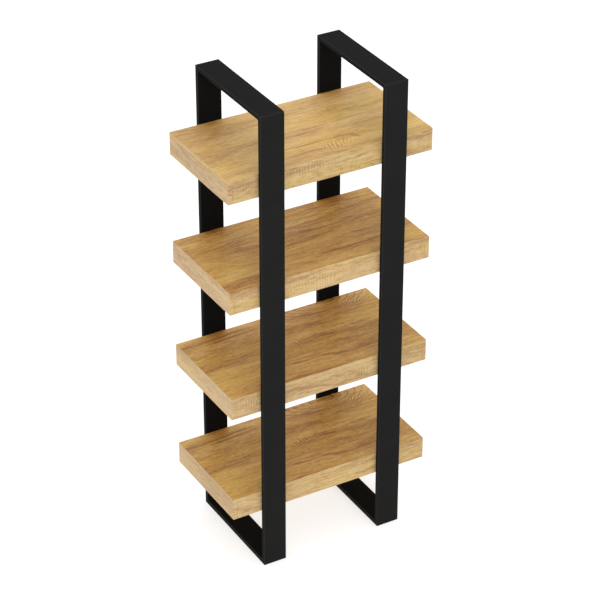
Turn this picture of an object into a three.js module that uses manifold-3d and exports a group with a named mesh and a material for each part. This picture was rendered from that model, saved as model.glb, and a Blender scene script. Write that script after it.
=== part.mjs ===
// Bookcase with adjustable shelves.
//
// Two closed loops of flat steel tube stand on edge, one near each end. Four thick shelves, each a box of
// boards, pass between the front and rear posts of both loops and run out past them on each side. The
// lowest and the highest shelf are screwed to angle brackets, so they tie the two loops together. The two
// shelves between them rest on push-in pins, which fit a short ladder of holes in each post.
//
// Millimetres. +Z is up, the front faces -Y, and the origin is on the floor below the middle.

import {
  BoxGeometry, BufferAttribute, BufferGeometry, CylinderGeometry, ExtrudeGeometry, Group, LatheGeometry,
  Matrix4, Mesh, MeshStandardMaterial, Path, Shape, Vector2, Vector3,
} from 'three';
import { mergeVertices } from 'three/addons/utils/BufferGeometryUtils.js';
import Module from 'manifold-3d';

const wasm = await Module();
wasm.setup();

// ---------- driving dimensions ----------

const bookcase = { width: 700, depth: 400, height: 1600 };
const loopCentre = 210; // from the middle of the bookcase to the middle of each loop
const tube = { width: 80, thickness: 15, wall: 1.5, radius: 2 };
const shelf = { thickness: 75, board: 15, clearance: 1, lowestTop: 282.5, pitch: 375, count: 4 };
const holes = { diameter: 5.6, spacing: 32, stepsUp: 2, stepsDown: 2 };
const pin = {
  diameter: 5, stem: 8, tip: 0.8, flangeDiameter: 9, flange: 1.5, plateWidth: 16, plateDepth: 12, plate: 2,
};
const bracket = { width: 50, leg: 40, steel: 3, bend: 3, holeDiameter: 4.8, screwFromPost: 27 };
const screw = { diameter: 4, headDiameter: 8, headHeight: 2.4, reach: 12, point: 3, socket: 2.5 };
const pad = { diameter: 28, height: 1.7, chamfer: 0.5, fromEnd: 30 };
const gap = 0.3; // left between pieces that touch
const roundSides = 16;
const cornerSteps = 3;

// ---------- values worked out from them ----------

const postFace = bookcase.depth / 2 - tube.thickness; // the posts' inward faces are at y = +-postFace
const frameBase = pad.height + gap;
const frameHeight = bookcase.height - frameBase;
const shelfDepth = 2 * (postFace - shelf.clearance);
const pinDrop = gap + pin.flangeDiameter / 2; // from a shelf's underside down to its pins' axes
const pilotDiameter = screw.diameter + 2 * gap;

const sides = [{ name: 'left', x: -loopCentre }, { name: 'right', x: loopCentre }];
const faces = [{ name: 'front', turn: Math.PI, y: -postFace }, { name: 'rear', turn: 0, y: postFace }];
const shelves = Array.from({ length: shelf.count }, (_, index) => ({
  name: `shelf_${index + 1}`,
  bottom: shelf.lowestTop + index * shelf.pitch - shelf.thickness,
  adjustable: index > 0 && index < shelf.count - 1,
}));

// ---------- finishes ----------

const blackCoat = new MeshStandardMaterial({ color: 0x262523, roughness: 0.6, metalness: 0.2 });
const oakBoard = new MeshStandardMaterial({ color: 0xcaa770, roughness: 0.55, metalness: 0 });
const platedSteel = new MeshStandardMaterial({ color: 0xb8b9b7, roughness: 0.3, metalness: 1 });
const blackRubber = new MeshStandardMaterial({ color: 0x1d1d1d, roughness: 0.9, metalness: 0 });

// ---------- joining and cutting ----------

function toSolid(geometry) {
  const bare = geometry.clone();
  bare.deleteAttribute('normal');
  bare.deleteAttribute('uv');
  const merged = mergeVertices(bare, 1e-4);
  return new wasm.Manifold(new wasm.Mesh({
    numProp: 3,
    vertProperties: new Float32Array(merged.attributes.position.array),
    triVerts: new Uint32Array(merged.index.array),
  }));
}

function toGeometry(solid) {
  const mesh = solid.getMesh();
  const geometry = new BufferGeometry();
  geometry.setAttribute('position', new BufferAttribute(new Float32Array(mesh.vertProperties), 3));
  geometry.setIndex(new BufferAttribute(new Uint32Array(mesh.triVerts), 1));
  geometry.computeVertexNormals();
  return geometry;
}

function join(...geometries) {
  return toGeometry(geometries.map(toSolid).reduce((whole, piece) => whole.add(piece)));
}

function cut(geometry, tools) {
  return toGeometry(tools.map(toSolid).reduce((whole, tool) => whole.subtract(tool), toSolid(geometry)));
}

// ---------- basic shapes ----------

// A box that reaches from one corner to the opposite one.
function boxBetween(low, high) {
  const size = new Vector3(...high).sub(new Vector3(...low));
  const middle = new Vector3(...high).add(new Vector3(...low)).multiplyScalar(0.5);
  return new BoxGeometry(size.x, size.y, size.z).translate(middle.x, middle.y, middle.z);
}

// A round bar along Z between two heights.
function uprightBar(diameter, bottom, top) {
  return new CylinderGeometry(diameter / 2, diameter / 2, top - bottom, roundSides)
    .rotateX(Math.PI / 2)
    .translate(0, 0, (bottom + top) / 2);
}

// A round bar along Y between two depths.
function levelBar(diameter, near, far) {
  return new CylinderGeometry(diameter / 2, diameter / 2, far - near, roundSides)
    .translate(0, (near + far) / 2, 0);
}

// A solid turned about Z from a profile of [radius, height] points, listed upwards.
function turnedUpright(profile) {
  const points = profile.map(([radius, height]) => new Vector2(radius, height));
  return new LatheGeometry(points, roundSides).rotateX(Math.PI / 2);
}

// The same about Y, from a profile of [radius, depth] points, listed towards +Y.
function turnedLevel(profile) {
  const points = profile.map(([radius, depth]) => new Vector2(radius, depth));
  return new LatheGeometry(points, roundSides);
}

// An outline in the YZ plane, pushed sideways to the width given and centred on x = 0.
function acrossX(outline, width) {
  const turn = new Matrix4().makeBasis(new Vector3(0, 1, 0), new Vector3(0, 0, 1), new Vector3(1, 0, 0));
  return new ExtrudeGeometry(outline, { depth: width, bevelEnabled: false, curveSegments: cornerSteps })
    .applyMatrix4(turn)
    .translate(-width / 2, 0, 0);
}

function roundedRectangle(path, width, height, radius) {
  const x = width / 2;
  const y = height / 2;
  path.moveTo(-x + radius, -y);
  path.lineTo(x - radius, -y);
  path.absarc(x - radius, -y + radius, radius, -Math.PI / 2, 0);
  path.lineTo(x, y - radius);
  path.absarc(x - radius, y - radius, radius, 0, Math.PI / 2);
  path.lineTo(-x + radius, y);
  path.absarc(-x + radius, y - radius, radius, Math.PI / 2, Math.PI);
  path.lineTo(-x, -y + radius);
  path.absarc(-x + radius, -y + radius, radius, Math.PI, Math.PI * 1.5);
  path.closePath();
  return path;
}

// ---------- the steel loops ----------

// One side of a loop: a flat tube along +Z with both ends mitred at 45 degrees. Its outward face is +Y and
// has the full length. Each end slopes back towards the inward face, and half a gap is taken off it.
function mitredTube(length) {
  const section = roundedRectangle(new Shape(), tube.width, tube.thickness, tube.radius);
  const bore = roundedRectangle(
    new Path(), tube.width - 2 * tube.wall, tube.thickness - 2 * tube.wall, tube.radius - tube.wall,
  );
  section.holes.push(bore);
  const settings = { depth: 1, bevelEnabled: false, curveSegments: cornerSteps };
  const geometry = new ExtrudeGeometry(section, settings);
  const position = geometry.attributes.position;
  for (let i = 0; i < position.count; i += 1) {
    const inset = tube.thickness / 2 - position.getY(i) + gap / Math.SQRT2;
    const atStart = position.getZ(i) < 0.5;
    position.setZ(i, atStart ? inset : length - inset);
  }
  return geometry;
}

// A post is a side of a loop with a ladder of pin holes through its inward wall for each adjustable shelf.
function drilledPost() {
  const inward = -tube.thickness / 2;
  const drills = [];
  for (const { bottom } of shelves.filter(({ adjustable }) => adjustable)) {
    for (let step = -holes.stepsDown; step <= holes.stepsUp; step += 1) {
      const height = bottom - pinDrop + step * holes.spacing - frameBase;
      drills.push(levelBar(holes.diameter, inward - 1, inward + tube.wall + 1).translate(0, 0, height));
    }
  }
  return cut(mitredTube(frameHeight), drills);
}

function padShape() {
  const radius = pad.diameter / 2;
  return turnedUpright([
    [0, 0], [radius - pad.chamfer, 0], [radius, pad.chamfer], [radius, pad.height], [0, pad.height],
  ]);
}

// ---------- the shelves ----------

// The boards of one shelf, with z = 0 at its underside. The top panel covers the other boards. The end
// boards run from front to rear, the aprons fit between them, and the bottom panel is let in flush.
function shelfBoards() {
  const { board, thickness } = shelf;
  const x = bookcase.width / 2;
  const y = shelfDepth / 2;
  const underTop = thickness - board - gap;
  const betweenEnds = x - board - gap;
  const betweenAprons = y - board - gap;
  return {
    top_panel: boxBetween([-x, -y, thickness - board], [x, y, thickness]),
    bottom_panel: boxBetween([-betweenEnds, -betweenAprons, 0], [betweenEnds, betweenAprons, board]),
    front_apron: boxBetween([-betweenEnds, -y, 0], [betweenEnds, board - y, underTop]),
    rear_apron: boxBetween([-betweenEnds, y - board, 0], [betweenEnds, y, underTop]),
    left_end: boxBetween([-x, -y, 0], [board - x, y, underTop]),
    right_end: boxBetween([x - board, -y, 0], [x, y, underTop]),
  };
}

// ---------- what holds the shelves ----------
// Each of these is drawn for a rear post: y = 0 is the post's inward face and +Y points into the post.

// A push-in shelf pin on the axis z = 0: a stem that enters the post, a flange that stops against its face,
// and a plate under the shelf with a rib below it.
function pinShape() {
  const flangeRadius = pin.flangeDiameter / 2;
  const stemRadius = pin.diameter / 2;
  const stem = turnedLevel([
    [0, -gap - pin.flange], [flangeRadius, -gap - pin.flange], [flangeRadius, -gap], [stemRadius, -gap],
    [stemRadius, pin.stem - pin.tip], [stemRadius - pin.tip, pin.stem], [0, pin.stem],
  ]);
  const back = -gap - pin.flange / 2;
  const front = -gap - pin.plateDepth;
  const plate = boxBetween(
    [-pin.plateWidth / 2, front, flangeRadius - pin.plate], [pin.plateWidth / 2, back, flangeRadius],
  );
  const rib = new Shape([
    new Vector2(back, -flangeRadius / 2),
    new Vector2(front + pin.plate, flangeRadius - pin.plate),
    new Vector2(front + pin.plate, flangeRadius - pin.plate / 2),
    new Vector2(back, flangeRadius - pin.plate / 2),
  ]);
  return join(stem, plate, acrossX(rib, pin.plate));
}

// An angle bracket with its upper face at z = 0: one leg down the post, the other under the shelf.
function bracketShape() {
  const { leg, steel, bend } = bracket;
  const outline = new Shape();
  outline.moveTo(-gap, -leg);
  outline.lineTo(-gap, -bend - steel);
  outline.absarc(-gap - bend - steel, -bend - steel, bend + steel, 0, Math.PI / 2);
  outline.lineTo(-gap - leg, 0);
  outline.lineTo(-gap - leg, -steel);
  outline.lineTo(-gap - bend - steel, -steel);
  outline.absarc(-gap - bend - steel, -bend - steel, bend, Math.PI / 2, 0, true);
  outline.lineTo(-gap - steel, -leg);
  outline.closePath();
  const hole = uprightBar(bracket.holeDiameter, -steel - 1, 1).translate(0, -bracket.screwFromPost, 0);
  return cut(acrossX(outline, bracket.width), [hole]);
}

// The screw that goes up through a bracket, with z = 0 at the bracket's upper face and a hexagon socket.
function screwShape() {
  const headRadius = screw.headDiameter / 2;
  const radius = screw.diameter / 2;
  const seat = -bracket.steel - gap;
  const bottom = seat - screw.headHeight;
  const body = turnedUpright([
    [0, bottom], [headRadius * 0.7, bottom], [headRadius, bottom + screw.headHeight * 0.4],
    [headRadius, seat], [radius, seat], [radius, screw.reach - screw.point], [0, screw.reach],
  ]);
  const depth = screw.headHeight * 0.65;
  const socket = new CylinderGeometry(screw.socket / 2, screw.socket / 2, 2 * depth, 6)
    .rotateX(Math.PI / 2)
    .translate(0, 0, bottom);
  return cut(body, [socket]).translate(0, -bracket.screwFromPost, 0);
}

// ---------- assembly ----------

function named(name, geometry, material, x = 0, y = 0, z = 0) {
  const mesh = new Mesh(geometry, material);
  mesh.name = name;
  mesh.position.set(x, y, z);
  return mesh;
}

function buildLoop({ name, x }) {
  const loop = new Group();
  loop.position.x = x;
  const post = drilledPost();
  const rail = mitredTube(bookcase.depth);
  const outer = bookcase.depth / 2;
  const half = tube.thickness / 2;

  for (const face of faces) {
    const upright = named(`${name}_${face.name}_post`, post, blackCoat);
    upright.rotation.z = face.turn;
    upright.position.set(0, Math.sign(face.y) * (outer - half), frameBase);
    const foot = named(`${name}_${face.name}_pad`, padShape(), blackRubber);
    foot.position.y = Math.sign(face.y) * (outer - pad.fromEnd);
    loop.add(upright, foot);
  }
  const topRail = named(`${name}_top_rail`, rail, blackCoat, 0, outer, bookcase.height - half);
  topRail.rotation.x = Math.PI / 2;
  const bottomRail = named(`${name}_bottom_rail`, rail, blackCoat, 0, -outer, frameBase + half);
  bottomRail.rotation.x = -Math.PI / 2;
  loop.add(topRail, bottomRail);
  return loop;
}

// One shelf with what holds it at each of the four posts.
function buildShelf({ name, bottom, adjustable }) {
  const group = new Group();
  group.position.z = bottom;
  const boards = shelfBoards();
  if (!adjustable) {
    const pilots = sides.flatMap(({ x }) => faces.map(({ y }) => {
      const inwards = y - Math.sign(y) * bracket.screwFromPost;
      return uprightBar(pilotDiameter, -1, screw.reach + gap).translate(x, inwards, 0);
    }));
    boards.bottom_panel = cut(boards.bottom_panel, pilots);
  }
  for (const [board, geometry] of Object.entries(boards)) {
    group.add(named(`${name}_${board}`, geometry, oakBoard));
  }
  for (const { name: side, x } of sides) {
    for (const { name: face, turn, y } of faces) {
      const holder = new Group();
      holder.position.set(x, y, adjustable ? -pinDrop : -gap);
      holder.rotation.z = turn;
      const place = `${name}_${side}_${face}`;
      if (adjustable) {
        holder.add(named(`${place}_pin`, pinShape(), platedSteel));
      } else {
        holder.add(named(`${place}_bracket`, bracketShape(), blackCoat));
        holder.add(named(`${place}_screw`, screwShape(), platedSteel));
      }
      group.add(holder);
    }
  }
  return group;
}

const model = new Group();
model.add(...sides.map(buildLoop), ...shelves.map(buildShelf));

export default model;
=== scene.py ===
import math
from collections import namedtuple

import bmesh
import bpy
from mathutils import Matrix, Vector


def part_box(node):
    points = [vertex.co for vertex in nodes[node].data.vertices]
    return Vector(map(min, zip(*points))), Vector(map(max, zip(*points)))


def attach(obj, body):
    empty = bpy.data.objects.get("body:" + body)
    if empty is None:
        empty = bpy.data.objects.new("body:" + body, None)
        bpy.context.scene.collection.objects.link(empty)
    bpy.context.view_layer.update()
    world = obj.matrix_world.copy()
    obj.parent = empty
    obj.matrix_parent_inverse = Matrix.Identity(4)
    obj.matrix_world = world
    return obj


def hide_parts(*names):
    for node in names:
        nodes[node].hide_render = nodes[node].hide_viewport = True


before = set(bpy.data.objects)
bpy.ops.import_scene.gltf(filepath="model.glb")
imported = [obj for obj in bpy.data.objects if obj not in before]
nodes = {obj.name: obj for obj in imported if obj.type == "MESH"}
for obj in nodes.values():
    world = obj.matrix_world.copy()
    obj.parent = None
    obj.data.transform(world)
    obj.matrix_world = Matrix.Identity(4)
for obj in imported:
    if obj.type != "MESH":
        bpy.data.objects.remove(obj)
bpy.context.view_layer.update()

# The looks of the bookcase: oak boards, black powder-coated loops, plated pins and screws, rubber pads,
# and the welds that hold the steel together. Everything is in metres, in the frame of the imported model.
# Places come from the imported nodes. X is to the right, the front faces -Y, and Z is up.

MM = 0.001
SIDES = ("left", "right")
FACES = ("front", "rear")
FIXED_SHELVES = ("shelf_1", "shelf_4")
ADJUSTABLE_SHELVES = ("shelf_2", "shelf_3")
SHELVES = ("shelf_1", "shelf_2", "shelf_3", "shelf_4")
BOARDS = ("top_panel", "bottom_panel", "front_apron", "rear_apron", "left_end", "right_end")
# The tubes of a loop: the way into the loop from each, whose faces that look that way get painted shade, the
# axis that it runs along, 1 for Y or 2 for Z, and how much painted shade darkens its coat all over.
Tube = namedtuple("Tube", "inward axis darkness")
TUBES = {
    "front_post": Tube((0.0, 1.0, 0.0), 2, 0.0),
    "rear_post": Tube((0.0, -1.0, 0.0), 2, 0.0),
    "top_rail": Tube((0.0, 0.0, -1.0), 1, 0.18),
    "bottom_rail": Tube((0.0, 0.0, 1.0), 1, 0.0),
}


# ---------- node graphs ----------

class Graph:
    """A node tree with short ways to add nodes. An input is given as a number, a tuple or a socket."""

    def __init__(self, tree):
        self.tree = tree

    def set(self, socket, value):
        if isinstance(value, bpy.types.NodeSocket):
            self.tree.links.new(value, socket)
        else:
            socket.default_value = value

    def add(self, kind, inputs=None, **settings):
        node = self.tree.nodes.new(kind)
        for name, value in settings.items():
            setattr(node, name, value)
        for key, value in (inputs or {}).items():
            self.set(node.inputs[key], value)
        return node

    def math(self, operation, first, second=0.0, third=0.0):
        return self.add("ShaderNodeMath", {0: first, 1: second, 2: third}, operation=operation).outputs[0]

    def vector(self, operation, first, second=(0.0, 0.0, 0.0)):
        node = self.add("ShaderNodeVectorMath", {0: first, 1: second}, operation=operation)
        return node.outputs["Value" if operation == "LENGTH" else "Vector"]

    def parts(self, vector):
        return self.add("ShaderNodeSeparateXYZ", {0: vector}).outputs

    def join(self, x, y, z):
        return self.add("ShaderNodeCombineXYZ", {0: x, 1: y, 2: z}).outputs[0]

    def noise(self, vector, along, across, detail=2.0, roughness=0.5):
        """Noise with so many cells per metre along the first axis and across it."""
        scaled = self.vector("MULTIPLY", vector, (along, across, across))
        inputs = {"Vector": scaled, "Scale": 1.0, "Detail": detail, "Roughness": roughness}
        return self.add("ShaderNodeTexNoise", inputs).outputs[0]

    def between(self, value, low, high, to_low=0.0, to_high=1.0):
        """Maps low..high to to_low..to_high with soft ends."""
        inputs = {"Value": value, "From Min": low, "From Max": high, "To Min": to_low, "To Max": to_high}
        return self.add("ShaderNodeMapRange", inputs, interpolation_type="SMOOTHSTEP").outputs["Result"]

    def sum(self, start, *terms):
        """The start value plus each (value, weight) term."""
        for value, weight in terms:
            start = self.math("MULTIPLY_ADD", value, weight, start)
        return start

    def product(self, first, *others):
        for other in others:
            first = self.math("MULTIPLY", first, other)
        return first

    def mix(self, factor, first, second, blend="MIX"):
        inputs = {0: factor, 6: first, 7: second}
        return self.add("ShaderNodeMix", inputs, data_type="RGBA", blend_type=blend).outputs[2]

    def mix_vectors(self, factor, first, second):
        return self.add("ShaderNodeMix", {0: factor, 4: first, 5: second}, data_type="VECTOR").outputs[1]

    def ramp(self, factor, stops):
        """A colour ramp through (position, colour) stops."""
        node = self.add("ShaderNodeValToRGB", {0: factor})
        elements = node.color_ramp.elements
        while len(elements) < len(stops):
            elements.new(0.5)
        for element, (position, colour) in zip(elements, stops):
            element.position = position
            element.color = (*colour, 1.0)
        return node.outputs[0]


def grey(level):
    """An opaque grey, as a linear colour."""
    return (level, level, level, 1.0)


def new_material(name):
    """A material with only its output and shader, the shader and its graph."""
    material = bpy.data.materials.new(name)
    material.use_nodes = True
    tree = material.node_tree
    shader = next(node for node in tree.nodes if node.type == "BSDF_PRINCIPLED")
    return material, shader, Graph(tree)


def add_bump(graph, shader, height, distance):
    bump = graph.add("ShaderNodeBump", {"Height": height, "Distance": distance, "Strength": 1.0})
    graph.set(shader.inputs["Normal"], bump.outputs[0])


# ---------- oak ----------

# Linear colours of the oak finish, as colour ramp stops from its darkest streaks to its palest wood. The top
# shelf's top and underside take a paler, less saturated palette, as painted light for the one top that no
# shelf shades; the lower tops keep the deeper palette, as painted shade.
TOP_OAK = ((0.08, (0.328, 0.156, 0.047)), (0.50, (0.548, 0.323, 0.093)), (0.92, (0.695, 0.492, 0.170)))
UNSHADED_TOP_OAK = ((0.08, (0.380, 0.212, 0.074)), (0.50, (0.555, 0.350, 0.120)), (0.92, (0.665, 0.468, 0.176)))
FRONT_OAK = ((0.08, (0.408, 0.250, 0.104)), (0.50, (0.584, 0.398, 0.171)), (0.92, (0.680, 0.515, 0.245)))
END_OAK = ((0.08, (0.420, 0.279, 0.136)), (0.50, (0.558, 0.391, 0.193)), (0.92, (0.640, 0.472, 0.250)))
# Tints, which multiply those colours, of the golden and the browner zones, and of the painted shadow, warm
# and dark, that the rear posts cast on the wood.
GOLDEN, BROWN, POST_SHADOW_TINT = (1.02, 1.005, 0.86, 1.0), (0.99, 0.962, 1.04, 1.0), (1.02, 0.90, 0.66, 1.0)
PORE_BROWN = (0.26, 0.14, 0.055, 1.0)
BLACK, WHITE = (0.0, 0.0, 0.0), (1.0, 1.0, 1.0)

# A streak or a patch of ripples that stands out on a face, in millimetres from the shelf's middle: its place
# along and across the grain, its half length and half width, and how dark it is. A slope tilts it. With a
# pitch it is a row of ripples across the grain.
Mark = namedtuple("Mark", "along across length width strength slope pitch", defaults=(0.0, 0.0))

# The lower two shelves have the same stretch of the figure on top, with the rings of a big arch at the rear.
ARCHED_TOP = [
    Mark(0, 172, 340, 11, -0.28), Mark(-220, 147, 110, 5, 0.55), Mark(-200, 128, 110, 5, 0.50),
    Mark(-150, 105, 100, 14, 0.20), Mark(110, 128, 80, 8, 0.40, slope=-0.12), Mark(60, 62, 110, 26, 0.22),
    Mark(275, 135, 36, 22, 0.90, slope=-1.0, pitch=13), Mark(230, 106, 24, 14, 0.70, slope=-1.2, pitch=12),
    Mark(-5, 8, 58, 20, 0.50, slope=0.15, pitch=11), Mark(60, 3, 130, 10, 0.40), Mark(-250, -4, 90, 3, 0.34),
    Mark(150, -28, 150, 10, -0.40), Mark(150, -55, 90, 10, 0.14), Mark(-85, -103, 60, 6, 0.44, slope=-0.06),
    Mark(-30, -116, 50, 11, 0.55, slope=1.9, pitch=15), Mark(20, -100, 60, 5, 0.60, slope=-0.18),
    Mark(65, -113, 42, 5, 0.80, slope=-0.12), Mark(170, -116, 62, 6, 0.60), Mark(50, -152, 260, 14, -0.20),
    Mark(-290, -50, 90, 60, -0.26),
]
TOP_MARKS = {
    "shelf_4": [
        Mark(25, 0, 85, 3.5, 0.75), Mark(-10, -18, 50, 3, 0.55), Mark(-45, -88, 70, 3.5, 0.55, slope=-0.05),
        Mark(75, -92, 36, 3.5, 0.85, slope=-0.03), Mark(122, -106, 16, 7, 0.60, slope=-1.0),
        Mark(-270, -92, 60, 4, 0.55), Mark(-75, -138, 60, 4, 0.45), Mark(165, 95, 60, 24, 0.16),
        Mark(-240, 85, 60, 26, 0.12), Mark(-260, 2, 80, 6, 0.26), Mark(60, -65, 110, 12, -0.26),
        Mark(34, -133, 28, 19, 1.00, slope=-0.4, pitch=12),
        Mark(84, -124, 19, 18, 0.70, slope=-0.7, pitch=14), Mark(30, 93, 110, 4, 0.30),
        Mark(-130, 92, 60, 4, 0.30), Mark(100, 40, 110, 22, -0.16),
    ],
    "shelf_3": [
        Mark(50, 50, 110, 42, 0.16), Mark(50, -9, 105, 5, 0.60, slope=0.03), Mark(-180, 60, 60, 45, 0.22),
        Mark(135, -103, 95, 4, 0.85), Mark(165, -121, 55, 3, 0.65), Mark(75, -103, 30, 5, 0.40),
        Mark(-290, -108, 60, 7, 0.26), Mark(-280, -60, 70, 35, -0.22), Mark(50, -155, 250, 18, -0.30),
        Mark(205, 150, 60, 18, 0.24), Mark(165, 95, 30, 22, 0.45, slope=0.1, pitch=12),
        Mark(90, 30, 60, 5, 0.25), Mark(20, -55, 150, 8, -0.18),
    ],
    "shelf_2": ARCHED_TOP,
    "shelf_1": [mark._replace(across=mark.across - 10) for mark in ARCHED_TOP],
}
FRONT_MARKS = {
    "shelf_4": [
        Mark(-90, 11, 72, 8, 0.36, slope=0.04), Mark(-90, 11, 76, 11, 0.54, pitch=10),
        Mark(-290, 11, 42, 8, 0.28), Mark(60, 8, 90, 3, 0.50, slope=0.04),
        Mark(160, 7, 40, 3, 0.40, slope=-0.06), Mark(300, 12, 45, 6, 0.16), Mark(0, 33, 330, 5, -0.20),
        Mark(-290, 11, 42, 10, 0.24, pitch=10),
    ],
    "shelf_3": [
        Mark(-40, -10, 105, 24, 0.50, pitch=10), Mark(-40, -20, 100, 12, -0.30), Mark(305, 30, 45, 4, 0.60),
        Mark(-290, -8, 50, 9, -0.14), Mark(-295, 16, 60, 16, 0.14), Mark(-60, 27, 90, 4, 0.24, slope=0.03),
    ],
    "shelf_2": [
        Mark(-110, -8, 60, 3, 0.50, slope=-0.14), Mark(-70, -17, 75, 3, 0.60, slope=-0.15),
        Mark(-95, -27, 50, 3, 0.45, slope=-0.18), Mark(85, -27, 85, 5, 0.36, slope=-0.02),
        Mark(-290, 0, 42, 18, 0.50, pitch=10), Mark(-295, 0, 60, 40, 0.18),
        Mark(122, -8, 42, 18, 0.50, slope=0.2, pitch=10), Mark(300, -12, 45, 4, 0.60, slope=0.12),
        Mark(-20, 10, 120, 8, -0.16),
    ],
    "shelf_1": [
        Mark(0, 8, 300, 12, -0.14), Mark(-75, -17, 75, 4, 0.28), Mark(130, -12, 42, 4, 0.30, slope=0.08),
        Mark(-290, -16, 42, 5, 0.24),
    ],
}
END_MARKS = {
    "shelf_4": [
        Mark(67, 9, 80, 4, 0.55, slope=0.16), Mark(50, 2, 60, 3, 0.30, slope=0.18),
        Mark(-125, 25, 60, 7, 0.22),
    ],
    "shelf_3": [Mark(-100, 30, 85, 3, 0.36)],
    "shelf_2": [Mark(60, 29, 75, 3, 0.26), Mark(-60, -10, 80, 6, 0.18, slope=0.1)],
    "shelf_1": [Mark(-100, 33, 85, 5, -0.25), Mark(40, 5, 90, 6, 0.16, slope=0.12)],
}
# How far behind its face a mark fades.
MARK_DEPTH = 20 * MM
# The arch's place along and across the grain from the shelf's middle, and its reach, in millimetres.
ARCH = {"shelf_2": (175, 190, 88), "shelf_1": (175, 180, 88)}
# The distances from ring to ring in the arch and from line to line of late wood.
ARCH_PITCH, GROWTH_PITCH = 13 * MM, 7 * MM
# Where the middle of each shelf lies in the endless print, in metres, for its top. Its sides lie elsewhere.
PRINT = {
    "shelf_1": (9.30, 4.11, 2.70), "shelf_2": (9.30, 4.10, 2.70), "shelf_3": (2.47, 1.63, 0.81),
    "shelf_4": (5.20, 2.30, 1.40),
}
# How light the front and the rear are against the rest of the shelf.
LIGHTNESS = {"shelf_1": 0.965, "shelf_2": 0.925, "shelf_3": 0.98, "shelf_4": 0.91}
# How far the painted shadow of a rear post reaches on the wood: along the grain, across it and down.
POST_SHADOW_REACH = (50 * MM, 60 * MM, 20 * MM)


def new_group(name, inputs, outputs):
    """An empty shader node group with the sockets named, its graph and the outputs of its input node."""
    tree = bpy.data.node_groups.new(name, "ShaderNodeTree")
    for in_out, sockets in (("INPUT", inputs), ("OUTPUT", outputs)):
        for socket, kind in sockets.items():
            tree.interface.new_socket(socket, in_out=in_out, socket_type=f"NodeSocket{kind}")
    g = Graph(tree)
    return tree, g, g.add("NodeGroupInput").outputs


def use_group(g, tree, inputs):
    return g.add("ShaderNodeGroup", inputs, node_tree=tree).outputs


def oak_place():
    """Where a point is in a shelf's figure. Face is its place along the grain, across it and out from the
    shelf's middle. The grain runs along the shelf, or along the depth on an end. Wood is that place in the
    endless print. Bent and Grain are Face and Wood with the wandering of the grain. On front is 1 on the
    front and on the rear, and On end is 1 on both ends."""
    outputs = {
        "Face": "Vector", "Bent": "Vector", "Wood": "Vector", "Grain": "Vector", "On front": "Float",
        "On end": "Float",
    }
    inputs = {"Middle": "Vector", "Top print": "Vector", "Side print": "Vector"}
    tree, g, given = new_group("oak_place", inputs, outputs)
    texture = g.add("ShaderNodeTexCoord").outputs
    normal = g.parts(g.vector("ABSOLUTE", texture["Normal"]))
    halfway = 0.71
    on_end = g.math("GREATER_THAN", normal[0], halfway)
    on_front = g.math("GREATER_THAN", normal[1], halfway)
    x, y, z = g.parts(g.vector("SUBTRACT", texture["Object"], given["Middle"]))
    face = g.mix_vectors(on_front, g.join(x, y, z), g.join(x, z, y))
    face = g.mix_vectors(on_end, face, g.join(y, z, x))
    on_side = g.math("MAXIMUM", on_end, on_front)
    wood = g.vector("ADD", face, g.mix_vectors(on_side, given["Top print"], given["Side print"]))
    sway = g.math("SUBTRACT", g.noise(wood, 3.0, 8, 2), 0.5)
    ripple = g.math("SUBTRACT", g.noise(wood, 14, 34, 2), 0.5)
    bend = g.join(0.0, g.sum(0.0, (sway, 0.050), (ripple, 0.009)), 0.0)
    g.add("NodeGroupOutput", {
        "Face": face, "Bent": g.vector("ADD", face, bend), "Wood": wood,
        "Grain": g.vector("ADD", wood, bend), "On front": on_front, "On end": on_end,
    })
    return tree


def oak_mark():
    """How much of a mark is at a place: 1 in its middle and 0 well outside it, and a wave for ripples."""
    inputs = {"Place": "Vector", "Middle": "Vector", "Size": "Vector", "Slope": "Float", "Pitch": "Float"}
    tree, g, given = new_group("oak_mark", inputs, {"Share": "Float", "Wave": "Float"})
    along, across, deep = g.parts(g.vector("SUBTRACT", given["Place"], given["Middle"]))
    slope = given["Slope"]
    length, width, thickness = g.parts(given["Size"])
    rippled = g.math("GREATER_THAN", given["Pitch"], 0.0)
    lean = g.product(along, slope, g.math("SUBTRACT", 1.0, rippled))
    far_along = g.math("DIVIDE", along, length)
    far_across = g.math("DIVIDE", g.math("SUBTRACT", across, lean), width)
    far_deep = g.math("DIVIDE", deep, thickness)
    squares = g.sum(0.0, (far_along, far_along), (far_across, far_across), (far_deep, far_deep))
    share = g.math("EXPONENT", g.math("MULTIPLY", squares, -1.0))
    phase = g.math("DIVIDE", g.math("MULTIPLY_ADD", across, slope, along), given["Pitch"])
    unsteady = g.math("MULTIPLY_ADD", g.noise(given["Place"], 45, 45, 2), 1.6, phase)
    wave = g.math("SINE", g.math("MULTIPLY", unsteady, 2 * math.pi))
    g.add("NodeGroupOutput", {"Share": share, "Wave": wave})
    return tree


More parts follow.
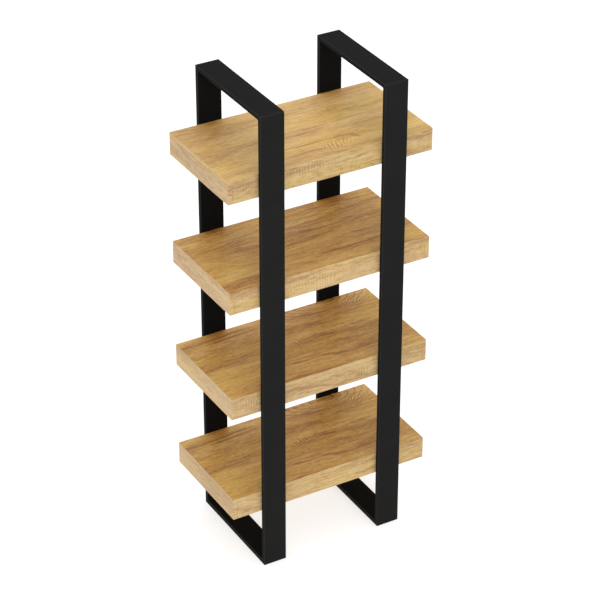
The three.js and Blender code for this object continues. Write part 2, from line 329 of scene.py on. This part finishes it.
def oak_figure():
    """The oak itself, from a place in the print. Accent darkens its streaks and Ripple waves its tone. The
    rings of an arch lie round Arch and fade at Reach. The rear posts' painted shadow warms and darkens it.
    Lightness changes only the front and the rear, and the top shelf's paler palette of painted light changes
    only the top and the underside."""
    inputs = {
        "Bent": "Vector", "Wood": "Vector", "Grain": "Vector", "On front": "Float", "On end": "Float",
        "Unshaded top": "Float", "Lightness": "Float", "Arch": "Vector", "Reach": "Float", "Accent": "Float",
        "Ripple": "Float", "Post shadow": "Float",
    }
    outputs = {"Color": "Color", "Roughness": "Float", "Height": "Float"}
    tree, g, given = new_group("oak_figure", inputs, outputs)
    wood, grain = given["Wood"], given["Grain"]

    # Streaks from a hand's width down to single fibres. The fine ones show more on the four upright sides.
    broad = g.noise(grain, 2.4, 17, 2)
    middling = g.noise(grain, 11, 110, 3, 0.6)
    fine = g.noise(grain, 34, 300, 3, 0.7)
    fibre = g.noise(grain, 60, 1300, 1)
    sheen = g.noise(wood, 150, 70, 2)
    streaks = ((broad, 1.2), (middling, 1.0), (fine, 1.15), (fibre, 0.3), (sheen, 0.35))
    tone = g.sum(0.5 - 0.5 * sum(weight for _, weight in streaks), *streaks)
    on_side = g.math("MAXIMUM", given["On front"], given["On end"])
    tone = g.sum(tone, (g.product(on_side, g.math("SUBTRACT", fine, 0.5)), 0.9))

    # Late wood lines, here and there, and the rings of the arch.
    across = g.parts(grain)[1]
    growth_place = g.sum(g.math("MULTIPLY", g.noise(grain, 2.5, 12, 2), 2.6), (across, 1 / GROWTH_PITCH))
    growth = g.ramp(g.math("FRACT", growth_place), [(0.0, BLACK), (0.8, WHITE), (1.0, BLACK)])
    growing = g.between(g.noise(grain, 2.5, 16, 2), 0.45, 0.62)
    offset = g.vector("SUBTRACT", given["Bent"], given["Arch"])
    distance = g.vector("LENGTH", g.vector("MULTIPLY", offset, (0.45, 1.0, 3.0)))
    far = g.math("DIVIDE", distance, g.math("MAXIMUM", given["Reach"], 0.1 * MM))
    arch = g.math("EXPONENT", g.math("MULTIPLY", g.math("POWER", far, 4.0), -1.0))
    unsteady = g.math("MULTIPLY_ADD", distance, 1 / ARCH_PITCH, g.math("MULTIPLY", middling, 0.5))
    ring = g.ramp(g.math("FRACT", unsteady), [(0.0, BLACK), (0.6, (0.3,) * 3), (0.8, WHITE), (1.0, BLACK)])
    lines = g.math("MULTIPLY_ADD", g.between(middling, 0.60, 0.42), 0.6, 0.4)
    dark = g.between(g.noise(grain, 4, 75, 2), 0.60, 0.74)
    tone = g.sum(
        tone, (g.product(growth, growing), -0.10), (dark, -0.18), (g.product(arch, ring), -0.52),
        (g.product(given["Accent"], lines), -1.0), (given["Ripple"], 0.5),
    )

    # Faint saw marks straight across the grain.
    comb = g.math("SUBTRACT", g.noise(wood, 260, 12, 1), 0.5)
    comb = g.product(comb, g.between(g.noise(wood, 6, 20, 1), 0.56, 0.74))
    tone = g.math("MULTIPLY_ADD", comb, 0.7, tone)

    # Colour: the tone of each face, with the top shelf's paler palette of painted light on top, its golden
    # and its browner zones, the pores, the rear posts' painted shadow, warm and dark, and the lightness of
    # the front and the rear.
    # The paler palette of painted light on the top shelf's top and underside.
    top = g.mix(given["Unshaded top"], g.ramp(tone, TOP_OAK), g.ramp(tone, UNSHADED_TOP_OAK))
    colour = g.mix(given["On front"], top, g.ramp(tone, FRONT_OAK))
    colour = g.mix(given["On end"], colour, g.ramp(tone, END_OAK))
    zone = g.between(g.sum(g.noise(grain, 1.8, 13, 2), (given["Accent"], 0.25)), 0.36, 0.64)
    colour = g.mix(1.0, colour, g.mix(zone, GOLDEN, BROWN), "MULTIPLY")
    pore = g.between(g.noise(grain, 60, 1500, 1), 0.62, 0.72)
    colour = g.mix(g.math("MULTIPLY", pore, 0.3), colour, PORE_BROWN)
    # The rear posts' painted shadow, a warm and dark tint.
    colour = g.mix(given["Post shadow"], colour, g.mix(1.0, colour, POST_SHADOW_TINT, "MULTIPLY"))
    light = given["Lightness"]
    colour = g.mix(given["On front"], colour, g.mix(1.0, colour, g.join(light, light, light), "MULTIPLY"))

    roughness = g.sum(0.42, (fibre, 0.14), (pore, 0.1))
    height = g.sum(0.0, (fibre, 0.5), (pore, -0.6), (comb, 0.9), (given["Ripple"], 0.2))
    g.add("NodeGroupOutput", {"Color": colour, "Roughness": roughness, "Height": height})
    return tree


def oak_shelf(shelf):
    """The oak of one shelf, whose figure runs on from board to board."""
    material, shader, g = new_material(f"oak_{shelf}")
    low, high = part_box(f"{shelf}_top_panel")
    length, depth = high.x - low.x, high.y - low.y
    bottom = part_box(f"{shelf}_bottom_panel")[0].z
    middle = ((low.x + high.x) / 2, (low.y + high.y) / 2, (bottom + high.z) / 2)
    top_print = PRINT[shelf]
    side_print = tuple(3.7 * step + SHELVES.index(shelf) for step in top_print)
    place = use_group(g, OAK_PLACE, {"Middle": middle, "Top print": top_print, "Side print": side_print})

    accent, ripple = 0.0, 0.0
    top = high.z - middle[2]
    faces = ((TOP_MARKS, top), (FRONT_MARKS, -depth / 2), (END_MARKS, -length / 2))
    for marks, out in faces:
        for mark in marks[shelf]:
            here = use_group(g, OAK_MARK, {
                "Place": place["Bent"], "Middle": (mark.along * MM, mark.across * MM, out),
                "Size": (mark.length * MM, mark.width * MM, MARK_DEPTH), "Slope": mark.slope,
                "Pitch": mark.pitch * MM,
            })
            if mark.pitch:
                ripple = g.sum(ripple, (g.product(here["Share"], here["Wave"]), mark.strength))
            else:
                accent = g.sum(accent, (here["Share"], mark.strength))

    # Painted shadow of the rear posts: the wood is coloured warmer and darker where it stands against them,
    # and its streaks darker.
    post_shadow = 0.0
    for side in SIDES:
        post_low, post_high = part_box(f"{side}_rear_post")
        foot = ((post_low.x + post_high.x) / 2 - middle[0], depth / 2, top)
        here = use_group(g, OAK_MARK, {"Place": place["Face"], "Middle": foot, "Size": POST_SHADOW_REACH})
        post_shadow = g.sum(post_shadow, (here["Share"], 1.0))
        accent = g.sum(accent, (g.math("POWER", here["Share"], 4.0), 0.25))

    along, across, reach = ARCH.get(shelf, (0, 0, 0))
    # Only the top shelf takes the paler palette of painted light on top.
    figure = use_group(g, OAK_FIGURE, {
        "Bent": place["Bent"], "Wood": place["Wood"], "Grain": place["Grain"],
        "On front": place["On front"], "On end": place["On end"],
        "Unshaded top": 1.0 if shelf == "shelf_4" else 0.0, "Lightness": LIGHTNESS[shelf],
        "Arch": (along * MM, across * MM, top), "Reach": reach * MM,
        "Accent": accent, "Ripple": ripple, "Post shadow": post_shadow,
    })
    g.set(shader.inputs["Base Color"], figure["Color"])
    g.set(shader.inputs["Roughness"], figure["Roughness"])
    shader.inputs["Specular IOR Level"].default_value = 0.25
    add_bump(g, shader, figure["Height"], 0.05 * MM)
    return material


OAK_PLACE, OAK_MARK, OAK_FIGURE = oak_place(), oak_mark(), oak_figure()


# ---------- metal and rubber ----------

# The distances from a tube's end where the painted highlight along its mitre starts to show and where it is
# full.
MITRE_HIGHLIGHT_BAND = (4 * MM, 2 * MM)
# The grey of the painted highlight on the rounded edges of the tubes, of the small parts and of the welds at
# the corners.
TUBE_HIGHLIGHT, SMALL_HIGHLIGHT, CORNER_HIGHLIGHT = 0.033, 0.018, 0.045


def powder_coat(name, highlight_level, inward=(0.0, 0.0, 0.0), darkness=0.0, mitres=None):
    """Matt black powder coat: a fine, even orange peel, with a painted highlight, in the grey given, on its
    rounded edges. The faces that look inward, into the loop, are darker with painted shade, and an even
    painted shade, given as a share, darkens all of it. A tube's mitres, given as an axis and the two places
    on it where the tube ends, get a band of the same painted highlight."""
    material, shader, g = new_material(name)
    highlight_colour = grey(highlight_level)
    texture = g.add("ShaderNodeTexCoord").outputs
    place = texture["Object"]
    peel = g.noise(place, 2600, 2600, 2, 0.6)
    grain = g.noise(place, 900, 900, 1)
    cloud = g.noise(place, 14, 14, 3)
    colour = g.ramp(g.sum(0.0, (peel, 0.6), (cloud, 0.4)), [
        (0.30, (0.0140, 0.0139, 0.0137)), (0.70, (0.0182, 0.0181, 0.0179)),
    ])
    # Painted shade: darker on the faces that look into the loop, and all over by the share given.
    facing = g.parts(g.vector("MULTIPLY", texture["Normal"], inward))
    inside = g.math("GREATER_THAN", g.sum(facing[0], (facing[1], 1.0), (facing[2], 1.0)), 0.9)
    colour = g.mix(g.sum(darkness, (inside, 0.45)), colour, grey(0.0))
    # Painted highlight in a band along each mitre.
    if mitres:
        axis, low, high = mitres
        along = g.parts(place)[axis]
        to_end = g.math("MINIMUM", g.math("SUBTRACT", along, low), g.math("SUBTRACT", high, along))
        colour = g.mix(g.between(to_end, *MITRE_HIGHLIGHT_BAND, 0.0, 0.32), colour, highlight_colour)
    # Painted highlight: grey on the rounded edges, where the surface turns away from a flat face.
    x, y, z = g.parts(g.vector("ABSOLUTE", texture["Normal"]))
    flatness = g.math("MAXIMUM", g.math("MAXIMUM", x, y), z)
    colour = g.mix(g.between(flatness, 0.985, 0.86), colour, highlight_colour)
    g.set(shader.inputs["Base Color"], colour)
    g.set(shader.inputs["Roughness"], g.sum(0.46, (cloud, 0.1), (grain, 0.08)))
    shader.inputs["Specular IOR Level"].default_value = 0.005
    add_bump(g, shader, g.sum(0.0, (peel, 1.0), (grain, 0.8)), 0.035 * MM)
    return material


def plated_steel():
    """Bright nickel plate with faint turning marks and slightly duller patches."""
    material, shader, g = new_material("plated_steel")
    place = g.add("ShaderNodeTexCoord").outputs["Object"]
    cloud = g.noise(place, 420, 420, 3, 0.6)
    marks = g.noise(place, 300, 4200, 2)
    colour = g.ramp(cloud, [(0.3, (0.50, 0.49, 0.46)), (0.7, (0.62, 0.61, 0.58))])
    g.set(shader.inputs["Base Color"], colour)
    shader.inputs["Metallic"].default_value = 1.0
    g.set(shader.inputs["Roughness"], g.sum(0.18, (cloud, 0.16), (marks, 0.10)))
    add_bump(g, shader, marks, 0.01 * MM)
    return material


def pad_rubber():
    """Matt black rubber with a moulded grain and a little dust in it."""
    material, shader, g = new_material("pad_rubber")
    place = g.add("ShaderNodeTexCoord").outputs["Object"]
    grain = g.noise(place, 1500, 1500, 3, 0.6)
    dust = g.noise(place, 160, 160, 3, 0.6)
    colour = g.ramp(dust, [(0.35, (0.010, 0.010, 0.010)), (0.75, (0.026, 0.025, 0.024))])
    g.set(shader.inputs["Base Color"], colour)
    g.set(shader.inputs["Roughness"], g.between(grain, 0.3, 0.7, 0.75, 0.92))
    add_bump(g, shader, grain, 0.05 * MM)
    return material


# ---------- smooth surfaces and soft edges ----------

# The radii of the soft edges.
BOARD_EDGE, TUBE_EDGE, BRACKET_EDGE = 0.7 * MM, 0.5 * MM, 0.4 * MM
# Two faces shade as one smooth surface where they turn by less than this.
GENTLE = math.radians(32)


def smoothing():
    """Merges doubled vertices and shades gentle corners smooth and sharp ones crisp."""
    tree = bpy.data.node_groups.new("smoothing", "GeometryNodeTree")
    tree.interface.new_socket("Geometry", in_out="INPUT", socket_type="NodeSocketGeometry")
    tree.interface.new_socket("Geometry", in_out="OUTPUT", socket_type="NodeSocketGeometry")
    g = Graph(tree)
    shape = g.add("NodeGroupInput").outputs[0]
    shape = g.add("GeometryNodeMergeByDistance", {"Geometry": shape, "Distance": 0.005 * MM}).outputs[0]
    angle = g.add("GeometryNodeInputMeshEdgeAngle").outputs["Unsigned Angle"]
    gentle = g.add("FunctionNodeCompare", {0: angle, 1: GENTLE}, operation="LESS_THAN").outputs[0]
    for domain, smooth in (("FACE", True), ("EDGE", gentle)):
        inputs = {"Geometry": shape, "Shade Smooth": smooth}
        shape = g.add("GeometryNodeSetShadeSmooth", inputs, domain=domain).outputs[0]
    g.add("NodeGroupOutput", {0: shape})
    return tree


SMOOTHING = smoothing()


def soften(piece, material, radius):
    """Gives a piece its material, smooth curves and softly rounded edges."""
    piece.data.materials.clear()
    piece.data.materials.append(material)
    smooth = piece.modifiers.new("smoothing", "NODES")
    smooth.node_group = SMOOTHING
    flatten = piece.modifiers.new("flat faces", "DECIMATE")
    flatten.decimate_type = "DISSOLVE"
    flatten.angle_limit = math.radians(0.5)
    bevel = piece.modifiers.new("edges", "BEVEL")
    bevel.width = radius
    bevel.segments = 3
    bevel.limit_method = "ANGLE"
    bevel.angle_limit = math.radians(40)
    bevel.harden_normals = True


def finish_boards():
    """Gives the six boards of each shelf their oak."""
    for shelf in SHELVES:
        oak = oak_shelf(shelf)
        for board in BOARDS:
            soften(nodes[f"{shelf}_{board}"], oak, BOARD_EDGE)


def finish_steel(bracket_coat):
    """Coats the tubes and the brackets. The two loops share the coat of each kind of tube."""
    for part, tube in TUBES.items():
        low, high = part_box(f"left_{part}")
        mitres = (tube.axis, low[tube.axis], high[tube.axis])
        coat = powder_coat(f"coat_{part}", TUBE_HIGHLIGHT, tube.inward, tube.darkness, mitres)
        for side in SIDES:
            soften(nodes[f"{side}_{part}"], coat, TUBE_EDGE)
    for side in SIDES:
        for face in FACES:
            for shelf in FIXED_SHELVES:
                soften(nodes[f"{shelf}_{side}_{face}_bracket"], bracket_coat, BRACKET_EDGE)


# ---------- small pieces and welds in mesh code ----------

def add_piece(name, shape, material, body, replaced=()):
    """Makes an object of a finished mesh shape, shaded smooth except over its sharp edges."""
    bmesh.ops.recalc_face_normals(shape, faces=shape.faces)
    for face in shape.faces:
        face.smooth = True
    for edge in shape.edges:
        edge.smooth = edge.calc_face_angle(0.0) < GENTLE
    mesh = bpy.data.meshes.new(name)
    shape.to_mesh(mesh)
    shape.free()
    mesh.materials.append(material)
    piece = bpy.data.objects.new(name, mesh)
    bpy.context.scene.collection.objects.link(piece)
    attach(piece, body)
    if replaced:
        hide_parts(*replaced)


def bridge(shape, lower, upper):
    """Faces between two closed rings of vertices. A ring of one vertex is a point."""
    count = max(len(lower), len(upper))
    for i in range(count):
        j = (i + 1) % count
        below = [lower[k % len(lower)] for k in (i, j)]
        above = [upper[k % len(upper)] for k in (j, i)]
        shape.faces.new(list(dict.fromkeys(below + above)))


def loft(shape, rings):
    """Faces over rings of points, one after another. The last ring may be the first, to close the loft."""
    made = [[shape.verts.new(point) for point in ring] for ring in rings]
    for lower, upper in zip(made, made[1:]):
        bridge(shape, lower, upper)
    return made


def rounded(points, radius, steps=4, closed=False):
    """The points with their corners rounded, the end points apart unless the line is closed."""
    points = [Vector(point) for point in points]
    line = []
    for i, corner in enumerate(points):
        if not closed and i in (0, len(points) - 1):
            line.append(corner)
            continue
        before, after = points[i - 1] - corner, points[(i + 1) % len(points)] - corner
        cut = min(radius, before.length / 2, after.length / 2)
        start, end = corner + before.normalized() * cut, corner + after.normalized() * cut
        for step in range(steps + 1):
            share = step / steps
            line.append(start * (1 - share) ** 2 + corner * 2 * share * (1 - share) + end * share ** 2)
    return line


def turned(shape, profile, place, sides=48, hexagon=()):
    """Turns a profile of (radius, height) points round the local Z axis. The rings at the indices in hexagon
    are six-sided."""
    rings = []
    for i, (radius, height) in enumerate(profile):
        if radius < 1e-9:
            rings.append([place @ Vector((0, 0, height))])
            continue
        ring = []
        for side in range(sides):
            angle = 2 * math.pi * side / sides
            flat = angle % (math.pi / 3) - math.pi / 6
            reach = radius * math.cos(math.pi / 6) / math.cos(flat) if i in hexagon else radius
            ring.append(place @ Vector((reach * math.cos(angle), reach * math.sin(angle), height)))
        rings.append(ring)
    loft(shape, rings)


def block(shape, outline, low, high, edge, place):
    """A plate of an (x, y) outline from low to high along local Z, with soft edges."""
    count = len(outline)
    centre = sum(outline, Vector((0, 0))) / count
    rings = [[place @ Vector((*centre, low))]]
    # How far in and how far up each ring of an edge lies, in edge sizes.
    soft_edge = ((1.5, 0.0), (1.0, 0.0), (0.3, 0.3), (0.0, 1.0), (0.0, 1.5))
    steps = [(inset * edge, low + rise * edge) for inset, rise in soft_edge]
    steps += [(inset * edge, high - rise * edge) for inset, rise in reversed(soft_edge)]
    for inset, height in steps:
        ring = []
        for point in outline:
            inward = centre - point
            ring.append(place @ Vector((*(point + inward.normalized() * inset), height)))
        rings.append(ring)
    rings.append([place @ Vector((*centre, high))])
    loft(shape, rings)


def bead(shape, path, normal, radius, pitch, closed, sides=8):
    """A weld bead: a rippled rod along an even path in the plane with that normal. Open ends taper off."""
    count = len(path)
    rings = []
    travelled = 0.0
    for i, point in enumerate(path):
        ahead = path[(i + 1) % count] if closed else path[min(i + 1, count - 1)]
        behind = path[i - 1] if closed or i else path[0]
        sideways = (ahead - behind).cross(normal).normalized()
        travelled += (point - behind).length
        ripple = 0.90 + 0.10 * abs(math.sin(math.pi * travelled / pitch))
        taper = 1.0 if closed else min(1.0, 0.35 + 0.65 * min(i, count - 1 - i) * 0.25)
        reach = radius * ripple * taper
        rings.append([
            point + reach * (math.cos(angle) * sideways + math.sin(angle) * normal)
            for angle in (2 * math.pi * side / sides for side in range(sides))
        ])
    if closed:
        made = loft(shape, rings)
        bridge(shape, made[-1], made[0])
    else:
        loft(shape, [[path[0]], *rings, [path[-1]]])


def evenly(line, step, closed):
    """Points along a line, a step apart."""
    line = [*line, line[0]] if closed else line
    lengths = [(b - a).length for a, b in zip(line, line[1:])]
    total = sum(lengths)
    count = round(total / step)
    points, leg, start = [], 0, 0.0
    for i in range(count if closed else count + 1):
        along = min(total * i / count, total - 1e-9)
        while along > start + lengths[leg]:
            start += lengths[leg]
            leg += 1
        points.append(line[leg].lerp(line[leg + 1], (along - start) / lengths[leg]))
    return points


def post_face(post):
    """The Y of a post's face that looks into the bookcase, and the way that it looks, 1 or -1."""
    low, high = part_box(post)
    return (high.y, 1) if low.y + high.y < 0 else (low.y, -1)


def weld_corner(name, post, rail, material):
    """The dressed weld round one mitre, where a post and a rail meet at 45 degrees."""
    post_low, post_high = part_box(post)
    rail_low, rail_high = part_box(rail)
    _, way = post_face(post)
    on_top = rail_low.z > (post_low.z + post_high.z) / 2
    outer = Vector((0, post_low.y if way > 0 else post_high.y, rail_high.z if on_top else rail_low.z))
    inward = Vector((0, way, -1 if on_top else 1)).normalized()
    normal = Vector((0, inward.z, -inward.y))
    deep = (rail_high.z - rail_low.z) * math.sqrt(2)
    left, right = post_low.x, post_high.x
    # How far inside the outer corner and inside the tube's sides the bead's middle lies.
    sunk_outside, sunk_beside = 0.75 * MM, 0.25 * MM
    corners = [
        (left + sunk_beside, sunk_outside), (right - sunk_beside, sunk_outside),
        (right - sunk_beside, deep), (left + sunk_beside, deep),
    ]
    outline = rounded([Vector((x, 0, 0)) + outer + inward * v for x, v in corners], 1.5 * MM, closed=True)
    step, radius, pitch = 0.45 * MM, 0.55 * MM, 1.8 * MM
    shape = bmesh.new()
    bead(shape, evenly(outline, step, True), normal, radius, pitch, True)
    add_piece(name, shape, material, "frame")


def weld_bracket(name, bracket, post, material):
    """The fillet weld down both sides of a bracket's upright leg and across its foot."""
    low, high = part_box(bracket)
    face, way = post_face(post)
    # The bead's middle stands a little proud of the post, and its ends stop short of the bracket's corner.
    proud, short = 0.2 * MM, 8 * MM
    face += way * proud
    top = high.z - short
    corners = [(low.x, top), (low.x, low.z), (high.x, low.z), (high.x, top)]
    line = rounded([Vector((x, face, z)) for x, z in corners], 1.2 * MM)
    step, radius, pitch = 0.6 * MM, 1.3 * MM, 2.4 * MM
    shape = bmesh.new()
    bead(shape, evenly(line, step, False), Vector((0, 1, 0)), radius, pitch, False)
    add_piece(name, shape, material, "frame")


def shelf_pin(name, node, body, post, material):
    """A pin: a turned stem and flange, and a plate with a rib under it that carries the shelf."""
    low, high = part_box(node)
    face, way = post_face(post)
    # Local +Y points into the post, and local Y is 0 at its face.
    turn = Matrix.Rotation(math.pi if way > 0 else 0.0, 4, "Z")
    place = Matrix.Translation(((low.x + high.x) / 2, face, (low.z + high.z) / 2)) @ turn
    flange, width = (high.z - low.z) / 2, (high.x - low.x) / 2
    flange_near, flange_far = -0.3 * MM, -1.8 * MM
    stem, stem_length, tip = 2.5 * MM, 8 * MM, 0.8 * MM
    profile = rounded([
        (0, flange_far), (flange, flange_far), (flange, flange_near), (stem, flange_near),
        (stem, stem_length - tip), (stem - tip, stem_length), (0, stem_length),
    ], 0.3 * MM)
    shape = bmesh.new()
    turned(shape, profile, place @ Matrix.Rotation(-math.pi / 2, 4, "X"))

    back, front = -1.05 * MM, stem_length - (high.y - low.y)
    plate = rounded([(-width, back), (-width, front), (width, front), (width, back)], 1.6 * MM, closed=True)
    underside = flange - 2 * MM
    block(shape, plate, underside, flange, 0.35 * MM, place)
    rib_front, rib_top = front + 2 * MM, flange - 1 * MM
    rib = rounded([
        (back, -flange / 2), (rib_front, underside), (rib_front, rib_top), (back, rib_top),
    ], 0.3 * MM, closed=True)
    # Local X of the rib's outline runs along the pin, its Y up, and its Z across.
    upright = place @ Matrix(((0, 0, 1, 0), (1, 0, 0, 0), (0, 1, 0, 0), (0, 0, 0, 1)))
    block(shape, rib, -1 * MM, 1 * MM, 0.2 * MM, upright)
    add_piece(name, shape, material, body, [node])


def bracket_screw(name, node, material):
    """A button head screw with a hexagon socket, seen from below, and its shank up into the shelf."""
    low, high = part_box(node)
    place = Matrix.Translation(((low.x + high.x) / 2, (low.y + high.y) / 2, low.z))
    head, shank = (high.x - low.x) / 2, 2 * MM
    height, total = 2.4 * MM, high.z - low.z
    socket, depth, cone = 1.25 * MM, 1.56 * MM, 0.3 * MM
    rim, tip = 0.15 * MM, 3 * MM
    dome = [
        (head * math.sin(angle), height * 0.55 * (1 - math.cos(angle) ** 0.8))
        for angle in (math.radians(step) for step in range(42, 90, 8))
    ]
    start = dome[0][1]
    profile = [
        (0, depth + cone), (socket * 0.96, depth), (socket, start + rim), (socket + 0.18 * MM, start * 0.9),
        *dome, (head, height * 0.6), (head, height - rim), (head - rim, height), (shank, height),
        (shank, total - tip), (0, total),
    ]
    shape = bmesh.new()
    turned(shape, profile, place, hexagon=(1, 2))
    add_piece(name, shape, material, "frame", [node])


def floor_pad(name, node, material):
    """A thin rubber foot with a rounded lower edge and a shallow recess in the middle of its underside."""
    low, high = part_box(node)
    place = Matrix.Translation(((low.x + high.x) / 2, (low.y + high.y) / 2, low.z))
    radius, height = (high.x - low.x) / 2, high.z - low.z
    recess, lip = 0.3 * MM, 0.5 * MM
    profile = rounded([
        (0, recess), (radius * 0.55, recess), (radius * 0.6, 0), (radius - lip, 0), (radius, lip),
        (radius, height), (0, height),
    ], 0.25 * MM)
    shape = bmesh.new()
    turned(shape, profile, place, sides=64)
    add_piece(name, shape, material, "frame", [node])


def finish_small_pieces(coat, corner_coat, plate, rubber):
    """Makes the floor pads, the welds, the bracket screws and the shelf pins."""
    for side in SIDES:
        for face in FACES:
            post = f"{side}_{face}_post"
            floor_pad(f"{side}_{face}_foot", f"{side}_{face}_pad", rubber)
            for rail in ("top_rail", "bottom_rail"):
                weld_corner(f"{side}_{face}_{rail}_weld", post, f"{side}_{rail}", corner_coat)
            for shelf in FIXED_SHELVES:
                place = f"{shelf}_{side}_{face}"
                bracket_screw(f"{place}_button_screw", f"{place}_screw", plate)
                weld_bracket(f"{place}_weld", f"{place}_bracket", post, coat)
            for shelf in ADJUSTABLE_SHELVES:
                place = f"{shelf}_{side}_{face}"
                shelf_pin(f"{place}_shelf_pin", f"{place}_pin", f"{place}_pin", post, plate)


# ---------- stage ----------

FLOOR_SIZE = 60
# The camera's place, the way that it looks, in degrees round from +Y towards +X and down, and its lens in
# millimetres.
CAMERA_PLACE = (-3.259, -5.674, 4.765)
CAMERA_AZIMUTH, CAMERA_ELEVATION = 29.84, 31.14
LENS = 146.77


def make_floor():
    """A plain pale floor, wide enough to fill the view from any side."""
    bpy.ops.mesh.primitive_plane_add(size=FLOOR_SIZE)
    floor = bpy.context.object
    floor.name = "floor"
    material, shader, _ = new_material("floor")
    shader.inputs["Base Color"].default_value = grey(0.45)
    shader.inputs["Emission Color"].default_value = grey(1.0)
    shader.inputs["Emission Strength"].default_value = 0.68
    shader.inputs["Roughness"].default_value = 0.9
    shader.inputs["Specular IOR Level"].default_value = 0.1
    floor.data.materials.append(material)


def add_lamp(name, size, watts, place, aim):
    """A square lamp at a place, turned towards its aim."""
    light = bpy.data.lights.new(name, "AREA")
    light.shape = "SQUARE"
    light.size = size
    light.energy = watts
    lamp = bpy.data.objects.new(name, light)
    bpy.context.scene.collection.objects.link(lamp)
    lamp.location = place
    lamp.rotation_euler = (Vector(aim) - Vector(place)).to_track_quat("-Z", "Y").to_euler()


def make_light():
    """Even white light from all round, a broad soft lamp high in front, and a soft box overhead."""
    world = bpy.data.worlds.new("studio")
    bpy.context.scene.world = world
    world.use_nodes = True
    background = world.node_tree.nodes["Background"]
    background.inputs["Color"].default_value = grey(1.0)
    background.inputs["Strength"].default_value = 0.92
    add_lamp("key", size=2.5, watts=20, place=(-0.9, -3.4, 3.6), aim=(0, 0, 0.8))
    add_lamp("overhead", size=4.0, watts=48, place=(0, 0, 4.5), aim=(0, 0, 0))


def make_camera():
    """Looks down on the front from the left, with a long lens."""
    azimuth, elevation = math.radians(CAMERA_AZIMUTH), math.radians(CAMERA_ELEVATION)
    data = bpy.data.cameras.new("camera")
    data.sensor_width = 36.0
    data.lens = LENS
    data.clip_end = 100.0
    camera = bpy.data.objects.new("camera", data)
    bpy.context.scene.collection.objects.link(camera)
    camera.location = CAMERA_PLACE
    level = math.cos(elevation)
    forward = Vector((math.sin(azimuth) * level, math.cos(azimuth) * level, -math.sin(elevation)))
    camera.rotation_euler = forward.to_track_quat("-Z", "Y").to_euler()
    bpy.context.scene.camera = camera


make_camera()
finish_boards()
small_coat = powder_coat("small_coat", SMALL_HIGHLIGHT)
finish_steel(small_coat)
# The corner welds get a brighter painted highlight over their curved surface.
corner_coat = powder_coat("corner_coat", CORNER_HIGHLIGHT)
finish_small_pieces(small_coat, corner_coat, plated_steel(), pad_rubber())
make_floor()
make_light()
bpy.context.scene.view_settings.view_transform = "Standard"
